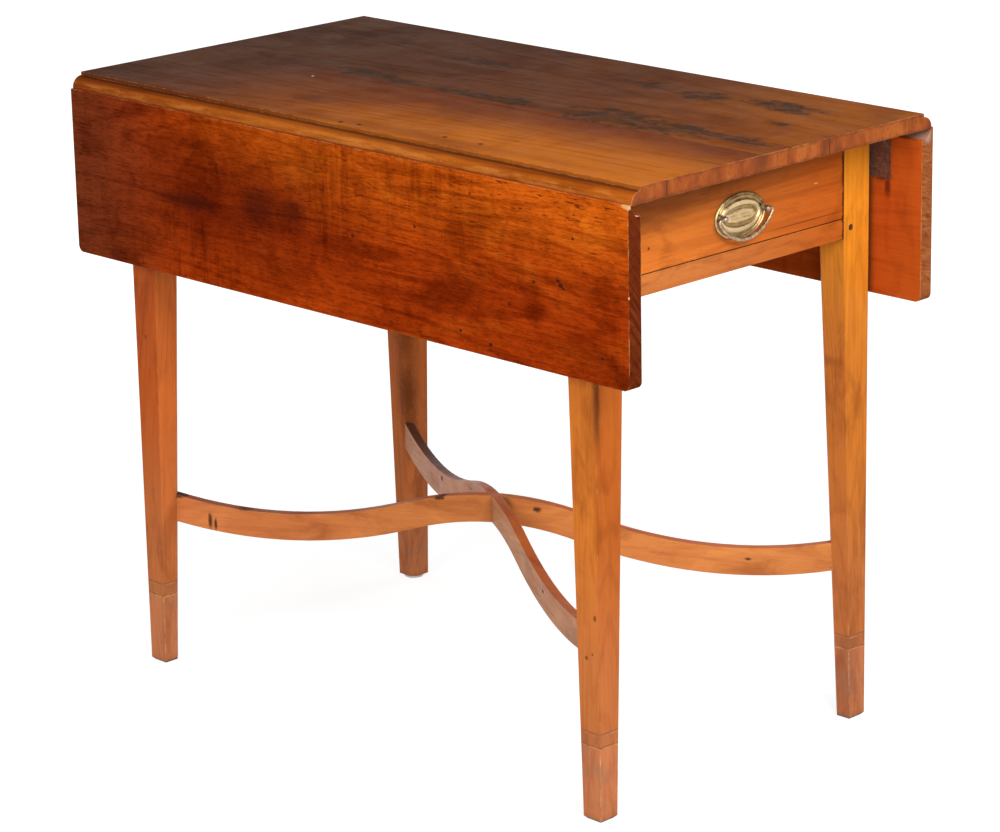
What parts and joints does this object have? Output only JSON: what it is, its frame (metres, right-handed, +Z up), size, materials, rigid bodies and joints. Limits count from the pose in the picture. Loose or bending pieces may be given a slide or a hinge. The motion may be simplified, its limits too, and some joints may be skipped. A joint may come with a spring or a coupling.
{
  "type": "pembroke table",
  "caption": "Small drop-leaf table: hanging side leaves on rule joints, end drawer with oval bail pull, square tapered legs and a serpentine cross stretcher.",
  "frame": {"origin": "on the floor under the middle of the table", "axes": "+Z up, +X towards the drawer end, +Y towards the right leaf seen from the drawer end"},
  "size_m": [0.89, 0.482, 0.711],
  "materials": {
    "cherry_top": "old varnish, worn satin",
    "cherry_frame": "old varnish, worn satin",
    "pine": "bare, aged",
    "pale_inlay": "varnished",
    "dark_peg": "stained end grain",
    "aged_brass": "cast, aged, rubbed bright on high spots",
    "iron": "wrought, dark, light rust",
    "glide_plastic": "matt grey"
  },
  "bodies": {
    "frame": {"back_rail": "pine", "cuff_stringing": "pale_inlay", "drawer_runner_left": "pine", "drawer_runner_right": "pine", "fly_block_left": "pine", "fly_block_right": "pine", "fly_pins": "iron", "foot_glide": "glide_plastic", "front_rail": "cherry_frame", "front_rail_peg": "dark_peg", "hinge_pins_left": "iron", "hinge_pins_right": "iron", "hinge_top_plates_left": "iron", "hinge_top_plates_right": "iron", "leg_back_left": "cherry_frame", "leg_back_right": "cherry_frame", "leg_front_left": "cherry_frame", "leg_front_right": "cherry_frame", "side_rail_left": "pine", "side_rail_right": "pine", "stretcher_over": "cherry_frame", "stretcher_under": "cherry_frame", "top_board": "cherry_top", "top_screws": "iron"},
    "leaf_left": {"leaf_left": "cherry_top", "hinge_leaf_straps_left": "iron"},
    "leaf_right": {"leaf_right": "cherry_top", "hinge_leaf_straps_right": "iron"},
    "drawer": {"drawer_front": "cherry_frame", "drawer_side_left": "pine", "drawer_side_right": "pine", "drawer_back": "pine", "drawer_bottom": "pine", "pull_backplate": "aged_brass", "pull_posts": "aged_brass", "pull_nuts": "iron"},
    "bail": {"pull_bail": "aged_brass"},
    "fly_bracket_back_left": {"fly_bracket_back_left": "pine"},
    "fly_bracket_back_right": {"fly_bracket_back_right": "pine"},
    "fly_bracket_front_left": {"fly_bracket_front_left": "pine"},
    "fly_bracket_front_right": {"fly_bracket_front_right": "pine"}
  },
  "joints": [
    {"name": "leaf_right_lift", "type": "hinge", "parent": "frame", "child": "leaf_right", "pos_m": [0, 0.224, 0.694], "axis": [1, 0, 0], "range_deg": [0, 90]},
    {"name": "leaf_left_lift", "type": "hinge", "parent": "frame", "child": "leaf_left", "pos_m": [0, -0.224, 0.694], "axis": [-1, 0, 0], "range_deg": [0, 90]},
    {"name": "drawer_slide", "type": "slide", "parent": "frame", "child": "drawer", "axis": [1, 0, 0], "range_m": [0, 0.36]},
    {"name": "bail_swing", "type": "hinge", "parent": "drawer", "child": "bail", "pos_m": [0.3831, 0.005, 0.6305], "axis": [0, -1, 0], "range_deg": [0, 150]},
    {"name": "fly_front_right_swing", "type": "hinge", "parent": "frame", "child": "fly_bracket_front_right", "pos_m": [0.06, 0.2, 0.65], "axis": [0, 0, 1], "range_deg": [0, 4.2]},
    {"name": "fly_front_left_swing", "type": "hinge", "parent": "frame", "child": "fly_bracket_front_left", "pos_m": [0.06, -0.2, 0.65], "axis": [0, 0, -1], "range_deg": [0, 4.2]},
    {"name": "fly_back_right_swing", "type": "hinge", "parent": "frame", "child": "fly_bracket_back_right", "pos_m": [-0.06, 0.2, 0.65], "axis": [0, 0, -1], "range_deg": [0, 4.2]},
    {"name": "fly_back_left_swing", "type": "hinge", "parent": "frame", "child": "fly_bracket_back_left", "pos_m": [-0.06, -0.2, 0.65], "axis": [0, 0, 1], "range_deg": [0, 4.2]}
  ]
}
